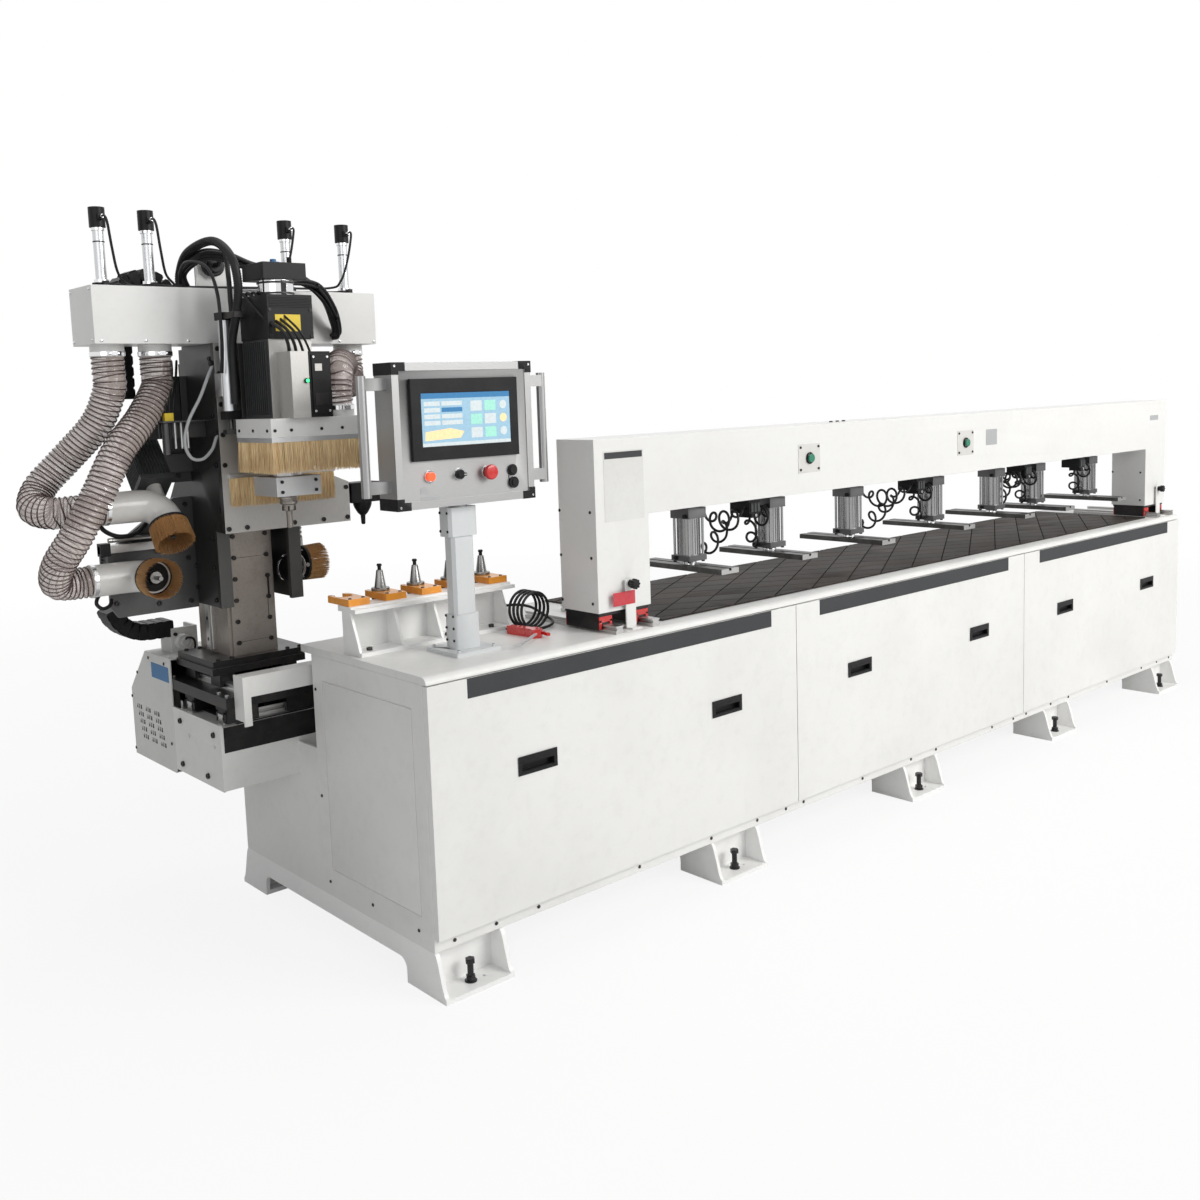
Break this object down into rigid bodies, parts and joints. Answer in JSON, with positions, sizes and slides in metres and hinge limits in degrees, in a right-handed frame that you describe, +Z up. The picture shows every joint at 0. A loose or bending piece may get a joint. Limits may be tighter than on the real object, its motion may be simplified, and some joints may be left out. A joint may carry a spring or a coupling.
{
  "type": "cnc grooving machine",
  "caption": "Long-bed CNC grooving machine: travelling column with a vertical router and side spindles, padded table, press beam with air cylinders, control box and tool rack.",
  "frame": {"origin": "on the floor, under the middle of the machine's footprint", "axes": "+X along the bed from the end where the column is parked, +Y from the front panels to the rear, +Z up"},
  "size_m": [4.8688, 1.312, 1.985],
  "materials": {
    "bed_frame": "satin powder coat",
    "table_top": "satin powder coat",
    "table_pad": "matt, moulded grooves",
    "rear_base": "satin powder coat",
    "feet": "satin powder coat",
    "levelling_bolts": "blackened",
    "x_rails": "ground",
    "beam_rails": "ground",
    "front_panel_1": "satin powder coat",
    "front_panel_2": "satin powder coat",
    "front_panel_3": "satin powder coat",
    "hmi_post": "satin",
    "hmi_case": "anodised",
    "hmi_screen": "gloss",
    "start_button": "gloss",
    "selector_knob": "matt",
    "stop_button": "gloss",
    "tool_rack": "satin powder coat",
    "tool_forks": "matt moulded",
    "tool_holders": "ground",
    "blow_gun": "matt",
    "air_hose": "satin",
    "saddle": "satin",
    "saddle_guard": "satin powder coat",
    "louvre_box": "satin powder coat",
    "x_pinion": "machined",
    "y_slide": "machined",
    "column": "ground plate",
    "z_rails": "ground",
    "z_screw": "ground",
    "head_plates": "machined",
    "dust_manifold": "satin powder coat",
    "gate_cylinders": "anodised, black caps",
    "dust_hoses": "wire-ribbed film",
    "dust_elbows": "matt moulded",
    "head_brushes": "bristle",
    "side_spindles": "anodised",
    "cable_loom": "satin",
    "router_spindle": "painted and machined",
    "router_hood": "satin",
    "brush_skirt": "bristle",
    "router_nose": "ground",
    "side_nose_1": "ground",
    "side_nose_2": "ground",
    "side_nose_3": "ground",
    "press_beam": "satin powder coat",
    "beam_trucks": "machined",
    "press_cylinders": "anodised, black caps",
    "air_coils": "satin",
    "press_foot_1": "anodised",
    "press_foot_2": "anodised",
    "press_foot_3": "anodised",
    "press_foot_4": "anodised",
    "press_foot_5": "anodised",
    "press_foot_6": "anodised",
    "press_foot_7": "anodised",
    "beam_button_1": "gloss",
    "beam_button_2": "gloss",
    "clamp_knob_1": "matt",
    "clamp_knob_2": "matt"
  },
  "bodies": {
    "bed": {"bed_frame": "bed_frame", "table_top": "table_top", "table_pad": "table_pad", "rear_base": "rear_base", "feet": "feet", "levelling_bolts": "levelling_bolts", "x_rails": "x_rails", "beam_rails": "beam_rails", "hmi_post": "hmi_post", "tool_rack": "tool_rack", "tool_forks": "tool_forks", "tool_holders": "tool_holders", "blow_gun": "blow_gun", "air_hose": "air_hose"},
    "panel_1": {"front_panel_1": "front_panel_1"},
    "panel_2": {"front_panel_2": "front_panel_2"},
    "panel_3": {"front_panel_3": "front_panel_3"},
    "control_box": {"hmi_case": "hmi_case", "hmi_screen": "hmi_screen"},
    "start": {"start_button": "start_button"},
    "selector": {"selector_knob": "selector_knob"},
    "stop": {"stop_button": "stop_button"},
    "carriage": {"saddle": "saddle", "saddle_guard": "saddle_guard", "louvre_box": "louvre_box"},
    "pinion": {"x_pinion": "x_pinion"},
    "cross_slide": {"y_slide": "y_slide", "column": "column", "z_rails": "z_rails"},
    "screw": {"z_screw": "z_screw"},
    "head": {"head_plates": "head_plates", "dust_manifold": "dust_manifold", "gate_cylinders": "gate_cylinders", "dust_hoses": "dust_hoses", "dust_elbows": "dust_elbows", "head_brushes": "head_brushes", "side_spindles": "side_spindles", "cable_loom": "cable_loom"},
    "router": {"router_spindle": "router_spindle", "router_hood": "router_hood", "brush_skirt": "brush_skirt"},
    "nose": {"router_nose": "router_nose"},
    "side_1": {"side_nose_1": "side_nose_1"},
    "side_2": {"side_nose_2": "side_nose_2"},
    "side_3": {"side_nose_3": "side_nose_3"},
    "portal": {"press_beam": "press_beam", "beam_trucks": "beam_trucks", "press_cylinders": "press_cylinders", "air_coils": "air_coils"},
    "button_1": {"beam_button_1": "beam_button_1"},
    "button_2": {"beam_button_2": "beam_button_2"},
    "knob_1": {"clamp_knob_1": "clamp_knob_1"},
    "knob_2": {"clamp_knob_2": "clamp_knob_2"},
    "foot_1": {"press_foot_1": "press_foot_1"},
    "foot_2": {"press_foot_2": "press_foot_2"},
    "foot_3": {"press_foot_3": "press_foot_3"},
    "foot_4": {"press_foot_4": "press_foot_4"},
    "foot_5": {"press_foot_5": "press_foot_5"},
    "foot_6": {"press_foot_6": "press_foot_6"},
    "foot_7": {"press_foot_7": "press_foot_7"}
  },
  "joints": [
    {"name": "x_travel", "type": "slide", "parent": "bed", "child": "carriage", "axis": [1, 0, 0], "range_m": [0, 3.89558]},
    {"name": "pinion_spin", "type": "hinge", "parent": "carriage", "child": "pinion", "pos_m": [-1.8556, 0.382, 0.63], "axis": [0, 0, 1], "continuous": true},
    {"name": "y_travel", "type": "slide", "parent": "carriage", "child": "cross_slide", "axis": [0, 1, 0], "range_m": [-0.06, 0]},
    {"name": "z_travel", "type": "slide", "parent": "cross_slide", "child": "head", "axis": [0, 0, 1], "range_m": [-0.13, 0.1]},
    {"name": "screw_spin", "type": "hinge", "parent": "cross_slide", "child": "screw", "pos_m": [-1.8526, 0.369, 1.14], "axis": [0, 0, 1], "continuous": true},
    {"name": "router_drop", "type": "slide", "parent": "head", "child": "router", "axis": [0, 0, 1], "range_m": [-0.1, 0]},
    {"name": "router_spin", "type": "hinge", "parent": "router", "child": "nose", "pos_m": [-1.8626, -0.134, 1.22], "axis": [0, 0, 1], "continuous": true},
    {"name": "side_spin_1", "type": "hinge", "parent": "head", "child": "side_1", "pos_m": [-2.1406, 0.106, 1.035], "axis": [0, -1, 0], "continuous": true},
    {"name": "side_spin_2", "type": "hinge", "parent": "head", "child": "side_2", "pos_m": [-2.0956, 0.101, 1.18], "axis": [0, -0.6428, -0.766], "continuous": true},
    {"name": "side_spin_3", "type": "hinge", "parent": "head", "child": "side_3", "pos_m": [-1.6796, 0.166, 1.01], "axis": [0, -1, 0], "continuous": true},
    {"name": "portal_slide", "type": "slide", "parent": "bed", "child": "portal", "axis": [0, 1, 0], "range_m": [0, 0.09]},
    {"name": "press_1", "type": "slide", "parent": "portal", "child": "foot_1", "axis": [0, 0, -1], "range_m": [0, 0.1]},
    {"name": "press_2", "type": "slide", "parent": "portal", "child": "foot_2", "axis": [0, 0, -1], "range_m": [0, 0.1]},
    {"name": "press_3", "type": "slide", "parent": "portal", "child": "foot_3", "axis": [0, 0, -1], "range_m": [0, 0.1]},
    {"name": "press_4", "type": "slide", "parent": "portal", "child": "foot_4", "axis": [0, 0, -1], "range_m": [0, 0.1]},
    {"name": "press_5", "type": "slide", "parent": "portal", "child": "foot_5", "axis": [0, 0, -1], "range_m": [0, 0.1]},
    {"name": "press_6", "type": "slide", "parent": "portal", "child": "foot_6", "axis": [0, 0, -1], "range_m": [0, 0.1]},
    {"name": "press_7", "type": "slide", "parent": "portal", "child": "foot_7", "axis": [0, 0, -1], "range_m": [0, 0.1]},
    {"name": "button_1_push", "type": "slide", "parent": "portal", "child": "button_1", "axis": [0, 1, 0], "range_m": [0, 0.004], "stiffness_N_per_m": 400, "springref_m": -0.004},
    {"name": "button_2_push", "type": "slide", "parent": "portal", "child": "button_2", "axis": [0, 1, 0], "range_m": [0, 0.004], "stiffness_N_per_m": 400, "springref_m": -0.004},
    {"name": "knob_1_turn", "type": "hinge", "parent": "bed", "child": "knob_1", "pos_m": [-1.0596, -0.584, 0.942], "axis": [0, 1, 0], "continuous": true},
    {"name": "knob_2_turn", "type": "hinge", "parent": "bed", "child": "knob_2", "pos_m": [2.3444, -0.584, 0.942], "axis": [0, 1, 0], "continuous": true},
    {"name": "box_swivel", "type": "hinge", "parent": "bed", "child": "control_box", "pos_m": [-1.5456, -0.444, 1.2], "axis": [0, 0, 1], "range_deg": [-20, 20]},
    {"name": "start_push", "type": "slide", "parent": "control_box", "child": "start", "axis": [0, 1, 0], "range_m": [0, 0.004], "stiffness_N_per_m": 400, "springref_m": -0.004},
    {"name": "selector_turn", "type": "hinge", "parent": "control_box", "child": "selector", "pos_m": [-1.5736, -0.504, 1.283], "axis": [0, 1, 0], "range_deg": [-45, 45]},
    {"name": "stop_push", "type": "slide", "parent": "control_box", "child": "stop", "axis": [0, 1, 0], "range_m": [0, 0.005], "stiffness_N_per_m": 600, "springref_m": -0.004},
    {"name": "panel_1_pull", "type": "slide", "parent": "bed", "child": "panel_1", "axis": [0, -1, 0], "range_m": [0, 0.2]},
    {"name": "panel_2_pull", "type": "slide", "parent": "bed", "child": "panel_2", "axis": [0, -1, 0], "range_m": [0, 0.2]},
    {"name": "panel_3_pull", "type": "slide", "parent": "bed", "child": "panel_3", "axis": [0, -1, 0], "range_m": [0, 0.2]}
  ],
  "couplings": [
    {"joint": "pinion_spin", "follows": "x_travel", "rad_per_m": -16.667},
    {"joint": "screw_spin", "follows": "z_travel", "rad_per_m": 314.16}
  ]
}
